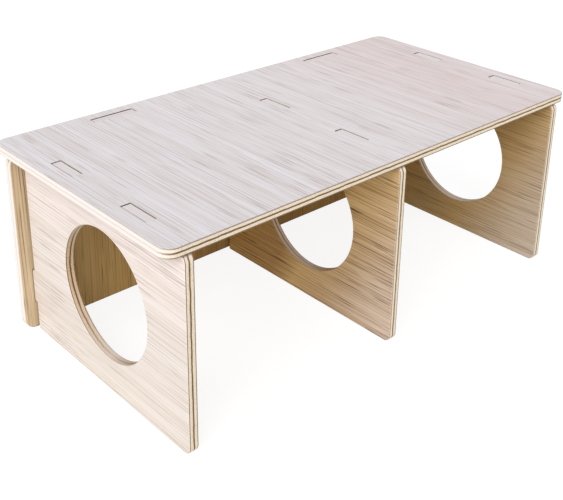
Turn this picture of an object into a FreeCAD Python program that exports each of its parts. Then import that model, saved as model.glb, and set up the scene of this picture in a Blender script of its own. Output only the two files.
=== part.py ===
import FreeCAD, Part
import math
import os
import Sketcher

# Flat-pack plywood house for a small pet, in millimetres.
# Five boards of one thickness lock together by tabs in slots: a roof, a back board and three cross panels,
# each with a round door. The front and the underside are open.
# The origin is on the ground at the middle of the outline seen from above. X runs along the house, the open
# front faces -Y and Z is up.

doc = FreeCAD.newDocument("SmallPetHouse")

# The driving sizes: name, millimetres, and what is measured.
SIZES = [
    ("board_thickness", 5, "plywood of all five boards"),
    ("sheet_corner_radius", 6.5, "rounding of the corners of the roof and the back board"),
    ("panel_corner_radius", 4, "rounding of a cross panel's two front corners"),
    ("arris", 0.3, "sanded edge round every outline and door"),
    ("roof_length", 280, "roof, left to right"),
    ("roof_depth", 144, "roof, front to back"),
    ("wall_height", 100, "ground to the underside of the roof"),
    ("back_end_inset", 2, "end of the back board, in from the end of the roof"),
    ("back_overhang", 6.5, "rear edge of the roof, out past the back board"),
    ("back_tab_length", 25, "each roof tab of the back board"),
    ("back_tab_spacing", 152, "between the centres of those two tabs"),
    ("end_panel_inset", 8.5, "outer face of an end panel, in from the end of the roof"),
    ("shoulder_gap", 2, "rear edge of a cross panel to the back board"),
    ("door_diameter", 68, "round door in each cross panel"),
    ("door_from_front", 63, "centre of the door, behind the panel's front edge"),
    ("door_centre_height", 52, "centre of the door, above the ground"),
    ("roof_tab_length", 18.5, "each roof tab of a cross panel"),
    ("first_roof_tab", 35, "centre of the front one, behind the panel's front edge"),
    ("roof_tab_spacing", 58, "between the centres of a cross panel's two roof tabs"),
    ("rear_tab_length", 18.5, "the tab that a cross panel puts through the back board"),
    ("rear_tab_height", 25, "centre of that tab, above the ground"),
    ("tab_recess", 0.2, "end of a tab, below the face that it comes up to"),
    ("slot_side_clearance", 0.3, "between a slot and each broad face of its tab"),
    ("slot_end_clearance", 0.5, "between a slot and each end of its tab"),
    ("roof_bearing_gap", 0.05, "left where the roof is pushed back against the back board's tabs"),
    ("slot_corner_radius", 0.5, "inside corners of a slot"),
]

sheet = doc.addObject("Spreadsheet::Sheet", "Sizes")
for row, (alias, millimetres, meaning) in enumerate(SIZES, start=1):
    sheet.set(f"A{row}", meaning)
    sheet.set(f"B{row}", str(millimetres))
    sheet.setAlias(f"B{row}", alias)
doc.recompute()

# Sizes and places that several boards share. The roof is pushed back by the play in its slots, so the front
# edges of the panels, at FRONT, stand a little proud of it.
THICKNESS = "Sizes.board_thickness"
ROOF_SET_BACK = "(Sizes.slot_side_clearance - Sizes.roof_bearing_gap)"
FRONT = "-(Sizes.roof_depth + " + ROOF_SET_BACK + ") / 2"
BACK_MIDDLE = "Sizes.roof_depth - Sizes.back_overhang - Sizes.board_thickness / 2"
PANEL_DEPTH = "(Sizes.roof_depth - Sizes.back_overhang - Sizes.board_thickness - Sizes.shoulder_gap)"
END_STATION = "(Sizes.roof_length / 2 - Sizes.end_panel_inset - Sizes.board_thickness / 2)"
TAB_REACH = "(Sizes.board_thickness - Sizes.tab_recess)"
REAR_TAB_REACH = "(Sizes.shoulder_gap + Sizes.board_thickness - Sizes.tab_recess)"
SLOT_WIDTH = "Sizes.board_thickness + 2 * Sizes.slot_side_clearance"

SAME_PLACE = 0.001


def number(expression):
    return float(sheet.evalExpression(expression))


def slot_length(tab_length):
    return f"{tab_length} + 2 * Sizes.slot_end_clearance"


# Sketches: every board is drawn on its own middle plane.


def origin_part(body, role):
    return next(part for part in body.Origin.OriginFeatures if part.Role == role)


def new_sketch(body, plane, name):
    sketch = body.newObject("Sketcher::SketchObject", name)
    sketch.AttachmentSupport = [(origin_part(body, plane), "")]
    sketch.MapMode = "FlatFace"
    return sketch


def drive(sketch, name, kind, ends, expression):
    # A dimension of the sketch that follows the sheet.
    index = sketch.addConstraint(Sketcher.Constraint(kind, *ends, number(expression)))
    sketch.renameConstraint(index, name)
    sketch.setExpression("Constraints." + name, expression)


def drive_centre(sketch, point, across, up):
    # Across and up are measured from the sketch's origin. With no across, the point lies straight above it.
    if across is None:
        sketch.addConstraint(Sketcher.Constraint("PointOnObject", *point, -2))
    else:
        drive(sketch, "Across", "DistanceX", (-1, 1, *point), across)
    drive(sketch, "Up", "DistanceY", (-1, 1, *point), up)


def corner_points(across, up, width, height):
    # The corners from the lower left, anticlockwise.
    middle = FreeCAD.Vector(number(across) if across else 0, number(up))
    half_width = number(width) / 2
    half_height = number(height) / 2
    signs = [(-1, -1), (1, -1), (1, 1), (-1, 1)]
    return middle, [middle + FreeCAD.Vector(sx * half_width, sy * half_height) for sx, sy in signs]


def draw_rectangle(sketch, across, up, width, height):
    middle, corners = corner_points(across, up, width, height)
    for corner, following in zip(corners, corners[1:] + corners[:1]):
        sketch.addGeometry(Part.LineSegment(corner, following))
    centre = sketch.addGeometry(Part.Point(middle), True)
    for side in range(4):
        sketch.addConstraint(Sketcher.Constraint("Coincident", side, 2, (side + 1) % 4, 1))
        sketch.addConstraint(Sketcher.Constraint("Vertical" if side % 2 else "Horizontal", side))
    sketch.addConstraint(Sketcher.Constraint("Symmetric", 0, 1, 2, 1, centre, 1))
    drive(sketch, "Width", "DistanceX", (0, 1, 0, 2), width)
    drive(sketch, "Height", "DistanceY", (1, 1, 1, 2), height)
    drive_centre(sketch, (centre, 1), across, up)


def draw_rounded_rectangle(sketch, across, up, width, height, radius):
    # Sides are the even curves and corner arcs the odd ones, in one anticlockwise loop.
    middle, corners = corner_points(across, up, width, height)
    curve_radius = number(radius)
    quarter = math.pi / 2
    for side in range(4):
        start, end = corners[side], corners[(side + 1) % 4]
        along = (end - start).normalize() * curve_radius
        inward = FreeCAD.Vector(-along.y, along.x)
        sketch.addGeometry(Part.LineSegment(start + along, end - along))
        corner_circle = Part.Circle(end - along + inward, FreeCAD.Vector(0, 0, 1), curve_radius)
        sketch.addGeometry(Part.ArcOfCircle(corner_circle, (side - 1) * quarter, side * quarter))
    centre = sketch.addGeometry(Part.Point(middle), True)
    for side in range(4):
        line, arc, next_line = 2 * side, 2 * side + 1, (2 * side + 2) % 8
        sketch.addConstraint(Sketcher.Constraint("Tangent", line, 2, arc, 1))
        sketch.addConstraint(Sketcher.Constraint("Tangent", arc, 2, next_line, 1))
        sketch.addConstraint(Sketcher.Constraint("Vertical" if side % 2 else "Horizontal", line))
        if side:
            sketch.addConstraint(Sketcher.Constraint("Equal", 1, arc))
    sketch.addConstraint(Sketcher.Constraint("Symmetric", 1, 3, 5, 3, centre, 1))
    drive(sketch, "CornerRadius", "Radius", (1,), radius)
    drive(sketch, "Width", "DistanceX", (6, 1, 2, 1), width)
    drive(sketch, "Height", "DistanceY", (0, 1, 4, 1), height)
    drive_centre(sketch, (centre, 1), across, up)


def draw_circle(sketch, across, up, diameter):
    middle = FreeCAD.Vector(number(across), number(up))
    circle = Part.Circle(middle, FreeCAD.Vector(0, 0, 1), number(diameter) / 2)
    sketch.addGeometry(circle)
    drive(sketch, "Diameter", "Diameter", (0,), diameter)
    drive_centre(sketch, (0, 3), across, up)


# Features that the boards share.


def new_feature(body, kind, name):
    feature = body.newObject("PartDesign::" + kind, name)
    body.Tip = feature
    return feature


def pad(body, sketch, name):
    # Wood of the board's thickness, half of it on each side of the sketch.
    feature = new_feature(body, "Pad", name)
    feature.Profile = sketch
    feature.SideType = "Symmetric"
    feature.setExpression("Length", THICKNESS)
    return feature


def cut_through(body, sketch, name):
    uncut = body.Tip
    feature = new_feature(body, "Pocket", name)
    feature.Profile = sketch
    feature.SideType = "Symmetric"
    feature.Type = "ThroughAll"
    doc.recompute()
    if feature.Shape.Volume >= uncut.Shape.Volume:
        raise RuntimeError(f"{name} cuts nothing")
    return feature


def repeat_in_line(body, original, axis, occurrences, length, name):
    feature = new_feature(body, "LinearPattern", name)
    feature.Originals = [original]
    feature.Direction = (origin_part(body, axis), [""])
    feature.Occurrences = occurrences
    feature.setExpression("Length", length)
    return feature


def repeat_mirrored(body, original, name):
    feature = new_feature(body, "Mirrored", name)
    feature.Originals = [original]
    feature.MirrorPlane = (origin_part(body, "YZ_Plane"), [""])


def edge_names(shape, wanted):
    return [f"Edge{index}" for index, edge in enumerate(shape.Edges, start=1) if wanted(edge)]


def round_front_corners(body, name):
    # The free corners at the front edge. The rear corners of a cross panel stay square.
    doc.recompute()
    blank = body.Tip
    feature = new_feature(body, "Fillet", name)
    feature.Base = (blank, edge_names(
        blank.Shape,
        lambda edge: edge.BoundBox.YMax < SAME_PLACE and edge.BoundBox.ZLength < SAME_PLACE,
    ))
    feature.setExpression("Radius", "Sizes.panel_corner_radius")


def ease_arrises(body, name):
    # Every edge of the two broad faces, round the outline, the tabs and the door.
    doc.recompute()
    sharp = body.Tip
    broad_faces = sorted(sharp.Shape.Faces, key=lambda face: face.Area)[-2:]
    broad_edges = [edge for face in broad_faces for edge in face.Edges]
    feature = new_feature(body, "Chamfer", name)
    feature.Base = (sharp, edge_names(
        sharp.Shape,
        lambda edge: any(edge.isSame(broad_edge) for broad_edge in broad_edges),
    ))
    feature.setExpression("Size", "Sizes.arris")


def place(body, **expressions):
    for axis, expression in expressions.items():
        body.setExpression(f"Placement.Base.{axis}", expression)


# Roof: a rounded sheet with two rows of three slots for the cross panels and two slots for the back board.
# Its own origin is at the middle of its front edge.


def make_roof():
    body = doc.addObject("PartDesign::Body", "roof_board")
    outline = new_sketch(body, "XY_Plane", "roof_outline")
    draw_rounded_rectangle(
        outline, None, "Sizes.roof_depth / 2", "Sizes.roof_length", "Sizes.roof_depth",
        "Sizes.sheet_corner_radius",
    )
    pad(body, outline, "roof_sheet")
    ease_arrises(body, "roof_arrises")

    panel_slot = new_sketch(body, "XY_Plane", "roof_panel_slot_outline")
    draw_rounded_rectangle(
        panel_slot, END_STATION, "Sizes.first_roof_tab", SLOT_WIDTH, slot_length("Sizes.roof_tab_length"),
        "Sizes.slot_corner_radius",
    )
    first_slot = cut_through(body, panel_slot, "roof_panel_slot")
    slot_grid = repeat_in_line(body, first_slot, "X_Axis", 3, "2 * " + END_STATION, "roof_panel_slots")
    slot_grid.Reversed = True
    slot_grid.Direction2 = (origin_part(body, "Y_Axis"), [""])
    slot_grid.Occurrences2 = 2
    slot_grid.setExpression("Length2", "Sizes.roof_tab_spacing")

    back_slot = new_sketch(body, "XY_Plane", "roof_back_slot_outline")
    draw_rounded_rectangle(
        back_slot, "Sizes.back_tab_spacing / 2", BACK_MIDDLE, slot_length("Sizes.back_tab_length"),
        SLOT_WIDTH, "Sizes.slot_corner_radius",
    )
    right_slot = cut_through(body, back_slot, "roof_back_slot")
    repeat_mirrored(body, right_slot, "roof_back_slots")
    place(body, y=FRONT + " + " + ROOF_SET_BACK, z="Sizes.wall_height + Sizes.board_thickness / 2")
    return body


# Back board: it stands on the ground, carries the roof on two tabs and takes the rear tab of each cross
# panel in a slot. Its own origin is on the ground, at its middle.


def make_back():
    body = doc.addObject("PartDesign::Body", "back_board")
    outline = new_sketch(body, "XZ_Plane", "back_outline")
    draw_rounded_rectangle(
        outline, None, "Sizes.wall_height / 2", "Sizes.roof_length - 2 * Sizes.back_end_inset",
        "Sizes.wall_height", "Sizes.sheet_corner_radius",
    )
    pad(body, outline, "back_sheet")

    tab_outline = new_sketch(body, "XZ_Plane", "back_roof_tab_outline")
    draw_rectangle(
        tab_outline, "Sizes.back_tab_spacing / 2", "Sizes.wall_height + " + TAB_REACH + " / 2",
        "Sizes.back_tab_length", TAB_REACH,
    )
    right_tab = pad(body, tab_outline, "back_roof_tab")
    repeat_mirrored(body, right_tab, "back_roof_tabs")
    ease_arrises(body, "back_arrises")

    slot_outline = new_sketch(body, "XZ_Plane", "back_panel_slot_outline")
    draw_rounded_rectangle(
        slot_outline, END_STATION, "Sizes.rear_tab_height", SLOT_WIDTH, slot_length("Sizes.rear_tab_length"),
        "Sizes.slot_corner_radius",
    )
    first_slot = cut_through(body, slot_outline, "back_panel_slot")
    slot_row = repeat_in_line(body, first_slot, "X_Axis", 3, "2 * " + END_STATION, "back_panel_slots")
    slot_row.Reversed = True
    place(body, y=FRONT + " + " + BACK_MIDDLE)
    return body


# Cross panel, three alike: a round door, two tabs up through the roof and one back through the back board.
# Its own origin is at the foot of its front edge.


def make_cross_panel(label, station):
    body = doc.addObject("PartDesign::Body", label)
    outline = new_sketch(body, "YZ_Plane", label + "_outline")
    draw_rectangle(outline, PANEL_DEPTH + " / 2", "Sizes.wall_height / 2", PANEL_DEPTH, "Sizes.wall_height")
    pad(body, outline, label + "_sheet")
    round_front_corners(body, label + "_front_corners")

    tab_outline = new_sketch(body, "YZ_Plane", label + "_roof_tab_outline")
    draw_rectangle(
        tab_outline, "Sizes.first_roof_tab", "Sizes.wall_height + " + TAB_REACH + " / 2",
        "Sizes.roof_tab_length", TAB_REACH,
    )
    front_tab = pad(body, tab_outline, label + "_roof_tab")
    repeat_in_line(body, front_tab, "Y_Axis", 2, "Sizes.roof_tab_spacing", label + "_roof_tabs")

    rear_tab_outline = new_sketch(body, "YZ_Plane", label + "_rear_tab_outline")
    draw_rectangle(
        rear_tab_outline, PANEL_DEPTH + " + " + REAR_TAB_REACH + " / 2", "Sizes.rear_tab_height",
        REAR_TAB_REACH, "Sizes.rear_tab_length",
    )
    pad(body, rear_tab_outline, label + "_rear_tab")

    door_outline = new_sketch(body, "YZ_Plane", label + "_door_outline")
    draw_circle(door_outline, "Sizes.door_from_front", "Sizes.door_centre_height", "Sizes.door_diameter")
    cut_through(body, door_outline, label + "_door")
    ease_arrises(body, label + "_arrises")
    place(body, x=station, y=FRONT)
    return body


boards = [
    make_roof(),
    make_back(),
    make_cross_panel("left_end_panel", "-" + END_STATION),
    make_cross_panel("middle_panel", "0"),
    make_cross_panel("right_end_panel", END_STATION),
]
doc.recompute()

for item in doc.Objects:
    if {"Invalid", "Error"} & set(item.State):
        raise RuntimeError(f"{item.Name} failed: {item.State}")
for board in boards:
    if board.Shape.isNull() or not board.Shape.isValid() or len(board.Shape.Solids) != 1:
        raise RuntimeError(f"{board.Label} is not one sound solid")

os.makedirs("parts", exist_ok=True)
for board in boards:
    board.Shape.exportStep(f"parts/{board.Label}.step")
    print(f"{board.Label}: {board.Shape.Volume / 1000:.2f} cm3, box {board.Shape.BoundBox}")
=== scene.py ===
import math

import bpy
from mathutils import Matrix, Vector


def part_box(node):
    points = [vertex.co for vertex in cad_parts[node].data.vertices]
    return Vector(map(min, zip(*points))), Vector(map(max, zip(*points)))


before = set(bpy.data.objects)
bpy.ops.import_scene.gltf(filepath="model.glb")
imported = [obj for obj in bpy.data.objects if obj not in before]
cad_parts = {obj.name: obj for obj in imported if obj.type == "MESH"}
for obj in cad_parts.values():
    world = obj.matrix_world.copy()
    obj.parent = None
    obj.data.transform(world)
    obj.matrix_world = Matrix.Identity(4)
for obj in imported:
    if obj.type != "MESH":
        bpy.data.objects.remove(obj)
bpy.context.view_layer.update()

# Camera
# A long lens looks down from the front left. The picture is cut from the lower part of its view, so the
# lens is shifted by that much.
camera_place = Vector((-0.3287, -0.3432, 0.2926))
camera_turn = math.radians(-42.51)
camera_tilt = math.radians(67.52)
camera_roll = math.radians(0.83)

camera_data = bpy.data.cameras.new("photo_camera")
camera_data.sensor_width = 36
camera_data.lens = 61.6
camera_data.shift_y = -0.213
camera_data.clip_start = 0.01
camera_data.clip_end = 50
camera = bpy.data.objects.new("photo_camera", camera_data)
camera.matrix_world = (
    Matrix.Translation(camera_place)
    @ Matrix.Rotation(camera_turn, 4, "Z")
    @ Matrix.Rotation(camera_tilt, 4, "X")
    @ Matrix.Rotation(camera_roll, 4, "Z")
)
bpy.context.scene.collection.objects.link(camera)
bpy.context.scene.camera = camera

# Roof
# One sheet of 5 mm plywood, routed to shape with rounded corners and eight slots, and sanded but not
# varnished. Its face grain runs from front to back. It drops over the tabs and lifts off again.

X, Y, Z = range(3)
MM_PER_M = 1000


def linear(hex_colour):
    # An sRGB hex value as the linear colour that a shader takes.
    channels = [int(hex_colour[place:place + 2], 16) / 255 for place in (1, 3, 5)]
    return (*[c / 12.92 if c <= 0.04045 else ((c + 0.055) / 1.055) ** 2.4 for c in channels], 1)


def bare_tree(owner):
    owner.use_nodes = True
    owner.node_tree.nodes.clear()
    return owner.node_tree


def add(tree, kind, inputs=(), **settings):
    # One node: its settings, and its inputs by name or number, each a value or another node's output.
    new = tree.nodes.new("ShaderNode" + kind)
    for name, value in settings.items():
        setattr(new, name, value)
    for key, value in dict(inputs).items():
        if isinstance(value, bpy.types.NodeSocket):
            tree.links.new(value, new.inputs[key])
        else:
            new.inputs[key].default_value = value
    return new


def maths(tree, operation, *values):
    return add(tree, "Math", enumerate(values), operation=operation).outputs[0]


def finish_in_plywood(board, name, thick, grain, low_face, high_face, seed):
    # Pale craft plywood, sanded and left bare: light veneers on a core, glued and pressed. Bare wood is
    # matt, so the eye gets the pores as short dark dashes along the grain, the growth rings as long thin
    # lines, soft bands between them, and on every cut edge the plies with their dark glue lines.
    # thick and grain are the axes across the sheet and along the face grain. A face has the tones of its
    # veneer, which also carry painted light and shade, at places in mm across the grain, how far the tones
    # lean along the grain, and how dark its figure is.
    material = bpy.data.materials.new(name)
    tree = bare_tree(material)
    low, high = (Vector(corner) * MM_PER_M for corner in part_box(board))
    middle = (low + high) / 2
    half = (high - low) / 2
    across = 3 - thick - grain

    def scaled(place, factor):
        return add(tree, "VectorMath", {0: place, "Scale": factor}, operation="SCALE").outputs[0]

    position = add(tree, "TexCoord").outputs
    place_mm = scaled(position["Object"], MM_PER_M)
    along_axis = add(tree, "SeparateXYZ", {0: place_mm}).outputs
    depth = maths(tree, "SUBTRACT", along_axis[thick], middle[thick])

    def within(value, low_end, high_end, top=1):
        # A mask that goes from 0 at the low end to top at the high end.
        return add(tree, "MapRange", {0: value, 1: low_end, 2: high_end, 4: top}).outputs[0]

    def noise(at, detail):
        return add(tree, "TexNoise", {"Vector": at, "Scale": 1, "Detail": detail}).outputs[0]

    def lumps(size_mm, detail):
        # Noise of one size in every direction.
        return noise(scaled(place_mm, 1 / size_mm), detail)

    def streaks(side, width_mm, length_mm, layer, detail):
        # Noise drawn out along the grain. Each layer is a noise of its own.
        sideways = maths(tree, "DIVIDE", side, width_mm)
        lengthways = maths(tree, "DIVIDE", along_axis[grain], length_mm)
        at = add(tree, "CombineXYZ", {0: sideways, 1: lengthways, 2: seed + layer}).outputs[0]
        return noise(at, detail)

    def blend(share, first, second, way="MIX"):
        # A Mix node takes its colours on inputs 6 and 7 and gives the result on output 2.
        mix = {0: share, 6: first, 7: second}
        return add(tree, "Mix", mix, data_type="RGBA", blend_type=way).outputs[2]

    def tint(base, mask, strength, hex_colour):
        return blend(maths(tree, "MULTIPLY", mask, strength), base, linear(hex_colour), "MULTIPLY")

    # The grain runs nearly straight, and wanders by 3 mm over a hand's breadth.
    drift = maths(tree, "MULTIPLY_ADD", streaks(along_axis[across], 70, 300, 0, 1), 6, along_axis[across])
    bands = within(streaks(drift, 7, 260, 3, 3), 0.36, 0.64)
    fibres = within(streaks(drift, 0.8, 80, 7, 2), 0.42, 0.68)

    # Real pores are 0.2 mm wide, too fine to show, so they are drawn 0.6 mm wide.
    pore_width_mm = 0.6
    dashes = within(streaks(drift, pore_width_mm, 26, 13, 1), 0.58, 0.68)
    crowded = within(streaks(drift, 6, 120, 17, 2), 0.38, 0.6)
    pores = maths(tree, "MULTIPLY", dashes, crowded)

    # A growth ring shows as a thin line, where a field that rises across the grain passes a round number.
    ring_spacing_mm = 1.8
    rise = maths(tree, "MULTIPLY", drift, 1 / ring_spacing_mm)
    growth = maths(tree, "MULTIPLY_ADD", streaks(drift, 24, 420, 23, 1), 3, rise)
    from_ring = maths(tree, "PINGPONG", growth, 0.5)
    unbroken = within(streaks(drift, 1.8, 60, 29, 2), 0.46, 0.64)
    rings = maths(tree, "MULTIPLY", within(from_ring, 0.17, 0.05), unbroken)

    def veneer(tones, lean, figure):
        first_mm = tones[0][0]
        last_mm = tones[-1][0]
        leaning = maths(tree, "MULTIPLY_ADD", along_axis[grain], lean, drift)
        ramp = add(tree, "ValToRGB", {0: within(leaning, first_mm, last_mm)})
        stops = ramp.color_ramp.elements
        while len(stops) < len(tones):
            stops.new(1)
        for stop, (at_mm, hex_colour) in zip(stops, tones):
            stop.position = (at_mm - first_mm) / (last_mm - first_mm)
            stop.color = linear(hex_colour)
        banded = tint(ramp.outputs[0], bands, 0.38 * figure, "#D9CBB9")
        fibrous = tint(banded, fibres, 0.5 * figure, "#C6B59F")
        ringed = tint(fibrous, rings, 0.75 * figure, "#93795A")
        return tint(ringed, pores, 0.8 * figure, "#8F7860")

    upper_side = maths(tree, "GREATER_THAN", depth, 0)
    faces = blend(upper_side, veneer(**low_face), veneer(**high_face))

    # The plies on a cut edge, from the middle of the sheet out: a dark line that wavers by a quarter of a
    # millimetre, the core, a glue line and the thin veneer. A share is 0 in the middle and 1 at a face.
    waver = maths(tree, "MULTIPLY_ADD", lumps(6, 3), 0.9, -0.45)
    wavering_depth = maths(tree, "ABSOLUTE", maths(tree, "ADD", depth, waver))
    wavering_share = maths(tree, "MULTIPLY", wavering_depth, 1 / half[thick])
    share = maths(tree, "MULTIPLY", maths(tree, "ABSOLUTE", depth), 1 / half[thick])
    glue = maths(tree, "MULTIPLY", within(share, 0.71, 0.77), within(share, 0.92, 0.88))
    core = blend(within(wavering_share, 0.1, 0.22), linear("#705637"), linear("#F9E9D1"))
    plies = blend(glue, core, linear("#75614A"))
    speckled = tint(plies, within(lumps(0.8, 2), 0.5, 0.68), 0.35, "#C4A67C")

    # An edge cut along the face grain is drawn nearly white, paler than one cut across it: partly its
    # smoother cut, partly painted light for the edges that face the lamp on the left.
    facing = add(tree, "SeparateXYZ", {0: position["Normal"]}).outputs
    end_grain = maths(tree, "ABSOLUTE", facing[grain])
    outline = blend(within(end_grain, 1, 0, 0.8), speckled, linear("#F6F0EC"))

    # The rims of slots and doorways are drawn browner than the outline. Only they lie this far in from the
    # board's box, with the rear edges of the panels, which a narrow gap hides.
    rim_mm = 1.15 * 2 * half[thick]
    inside = 1
    for axis in (across, grain):
        reach = maths(tree, "ABSOLUTE", maths(tree, "SUBTRACT", along_axis[axis], middle[axis]))
        inside = maths(tree, "MULTIPLY", inside, maths(tree, "LESS_THAN", reach, half[axis] - rim_mm))
    browned = tint(outline, maths(tree, "MULTIPLY", inside, end_grain), 0.45, "#CBB08A")
    browned = tint(browned, inside, 0.3, "#DCC6A8")

    # The tabs' ends, from 0.1 to 0.7 mm below the roof's face, are sanded with it, so that they are as pale.
    # Their arrises are darkened brown: painted shade of the narrow gaps of the slots round them.
    roof_face_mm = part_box("roof_board")[1][Z] * MM_PER_M
    upward = maths(tree, "GREATER_THAN", facing[Z], 0.5)
    tab_height = maths(tree, "COMPARE", along_axis[Z], roof_face_mm - 0.4, 0.3)
    tab_end = maths(tree, "MULTIPLY", upward, tab_height)
    edges = blend(maths(tree, "MULTIPLY", tab_end, 0.85), browned, linear("#E3DCDD"))
    faces_with_painted_slot_shade = tint(faces, tab_end, 0.85, "#7A5450")
    colour = blend(within(share, 0.9, 0.94), edges, faces_with_painted_slot_shade)

    # Painted shade: the narrow gaps of the joints, where the ambient occlusion finds them closed in, are
    # darkened into dark lines.
    gap_reach = 2.5 / MM_PER_M
    openness = add(tree, "AmbientOcclusion", {"Distance": gap_reach}, samples=8).outputs["AO"]
    colour = tint(colour, within(openness, 0.7, 0.2), 0.8, "#6E553C")

    relief = maths(tree, "MULTIPLY_ADD", pores, -0.7, fibres)
    fibre_height = 0.1 / MM_PER_M
    bump = add(tree, "Bump", {"Strength": 0.3, "Distance": fibre_height, "Height": relief}).outputs[0]
    wood = {"Base Color": colour, "Normal": bump, "Roughness": 0.62, "IOR": 1.45, "Specular IOR Level": 0.3}
    add(tree, "OutputMaterial", {0: add(tree, "BsdfPrincipled", wood).outputs[0]})

    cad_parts[board].data.materials.clear()
    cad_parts[board].data.materials.append(material)


finish_in_plywood(
    "roof_board", "bare_ply_roof", thick=Z, grain=Y, seed=4,
    # The underside is a darker, yellower tan than the top: painted shade of the rooms under it.
    low_face={"tones": [(-140, "#CBA568"), (140, "#C8A163")], "lean": 0, "figure": 1},
    high_face={
        "tones": [(-140, "#EDE9ED"), (30, "#EEE9ED"), (110, "#ECDFE1"), (140, "#ECE3E5")],
        "lean": 0, "figure": 0.5,
    },
)

# Back board
# One sheet of the same ply, stood on edge behind the cross panels with its face grain upright. Two tabs
# on its top edge hold the roof, and it takes the rear tab of each panel in a slot.
finish_in_plywood(
    "back_board", "bare_ply_back", thick=Y, grain=Z, seed=21,
    # The front face's tones are painted light and shade: lighter by the left doorway, where the lamp comes
    # in, and darker from the middle to the right, painted shade under the roof.
    low_face={
        "tones": [
            (-138, "#E0CDB2"), (-128, "#DEC7A2"), (-118, "#E6C88C"), (-60, "#DFBB76"),
            (-20, "#BF9A5C"), (122, "#B8924F"), (131, "#DEC7A2"), (138, "#E0CDB2"),
        ],
        "lean": 0, "figure": 0.8,
    },
    high_face={"tones": [(-138, "#E9DBC6"), (0, "#E3D2B8"), (138, "#EADCC8")], "lean": 0, "figure": 0.6},
)

# Cross panels
# Three sheets of the same ply stand across the house, one at each end and one between its two rooms. Each
# has a round doorway sawn through it, and face grain that runs from front to back.
panel_axes = {"thick": X, "grain": Y}
# The inner faces are a darker tan that grows yellower towards the rear and the top: painted shade of the
# rooms.
inner_side_in_painted_shade = {"tones": [(-115, "#DCC8AE"), (196, "#CFA868")], "lean": 1.6, "figure": 0.9}

finish_in_plywood(
    "left_end_panel", "bare_ply_left_end", **panel_axes, seed=33,
    # Its tones grow lighter towards the roof: painted light against the roof's shade.
    low_face={"tones": [(0, "#EAE1D9"), (60, "#EEE5DF"), (100, "#F9EEEA")], "lean": 0, "figure": 0.52},
    high_face=inner_side_in_painted_shade,
)
finish_in_plywood(
    "middle_panel", "bare_ply_middle", **panel_axes, seed=47,
    # Its tones are painted shade: darker and yellower towards the top and the rear, paler and pinker low at
    # the front.
    low_face={
        "tones": [
            (-115, "#DFCDBF"), (-60, "#D8C2A9"), (-30, "#D8BC93"), (10, "#F0D094"),
            (40, "#C9A369"), (100, "#D7B06A"), (196, "#DAAF58"),
        ],
        "lean": 1.6, "figure": 1.2,
    },
    high_face=inner_side_in_painted_shade,
)
finish_in_plywood(
    "right_end_panel", "bare_ply_right_end", **panel_axes, seed=59,
    # Its tones are painted shade: darker than the outer face of the same ply, and yellower towards the top
    # and the rear.
    low_face={
        "tones": [
            (-115, "#C7BCAE"), (-60, "#C9B7A0"), (-5, "#CAAB74"),
            (40, "#C2A570"), (100, "#D6AF68"), (196, "#DBAF52"),
        ],
        "lean": 1.6, "figure": 0.85,
    },
    high_face={"tones": [(0, "#ECE0D0"), (100, "#E9DAC6")], "lean": 0, "figure": 0.6},
)

# Floor
# A sweep of matt white paper. Seen by the camera it nearly glows, and keeps a faint shadow of the house.
floor_size = 8


def seen_directly(tree):
    # 1 for a ray from the camera, also by way of a gloss or a clear piece, and 0 for a ray that lights.
    rays = add(tree, "LightPath").outputs
    camera_or_gloss = maths(tree, "MAXIMUM", rays["Is Camera Ray"], rays["Is Glossy Ray"])
    return maths(tree, "MAXIMUM", camera_or_gloss, rays["Is Transmission Ray"])


bpy.ops.object.select_all(action="DESELECT")
bpy.ops.mesh.primitive_plane_add(size=floor_size, location=(0, 0, 0))
floor = bpy.context.active_object
floor.name = "paper_floor"
paper = bpy.data.materials.new("matt_white_paper")
paper_tree = bare_tree(paper)
lit_paper = add(paper_tree, "BsdfDiffuse", {"Color": (0.8, 0.8, 0.8, 1)})
glow = add(paper_tree, "Emission", {"Color": (1, 1, 1, 1), "Strength": 0.88})
faint_paper = add(paper_tree, "BsdfDiffuse", {"Color": (0.2, 0.2, 0.2, 1)})
glowing_paper = add(paper_tree, "AddShader", {0: glow.outputs[0], 1: faint_paper.outputs[0]})
paper_look = add(paper_tree, "MixShader", {
    0: seen_directly(paper_tree), 1: lit_paper.outputs[0], 2: glowing_paper.outputs[0],
})
add(paper_tree, "OutputMaterial", {0: paper_look.outputs[0]})
floor.data.materials.append(paper)

# Light
# A tent of soft, slightly cool light all round, and one wide lamp high on the left and in front.
world = bpy.data.worlds.new("studio")
world_tree = bare_tree(world)
bpy.context.scene.world = world
tent = add(world_tree, "Background", {"Color": (0.96, 0.98, 1.0, 1), "Strength": 0.5})
white = add(world_tree, "Background", {"Color": (1, 1, 1, 1), "Strength": 1})
sky = add(world_tree, "MixShader", {
    0: seen_directly(world_tree), 1: tent.outputs[0], 2: white.outputs[0],
})
add(world_tree, "OutputWorld", {0: sky.outputs[0]})

lamp_direction = Vector((-0.7, -0.4, 0.6))
lamp_data = bpy.data.lights.new("key", "SUN")
lamp_data.energy = 2.3
lamp_data.angle = math.radians(50)
lamp_data.color = (1.0, 0.98, 0.96)
lamp = bpy.data.objects.new("key", lamp_data)
lamp.rotation_euler = lamp_direction.to_track_quat("Z", "Y").to_euler()
bpy.context.scene.collection.objects.link(lamp)

bpy.context.scene.view_settings.view_transform = "Standard"
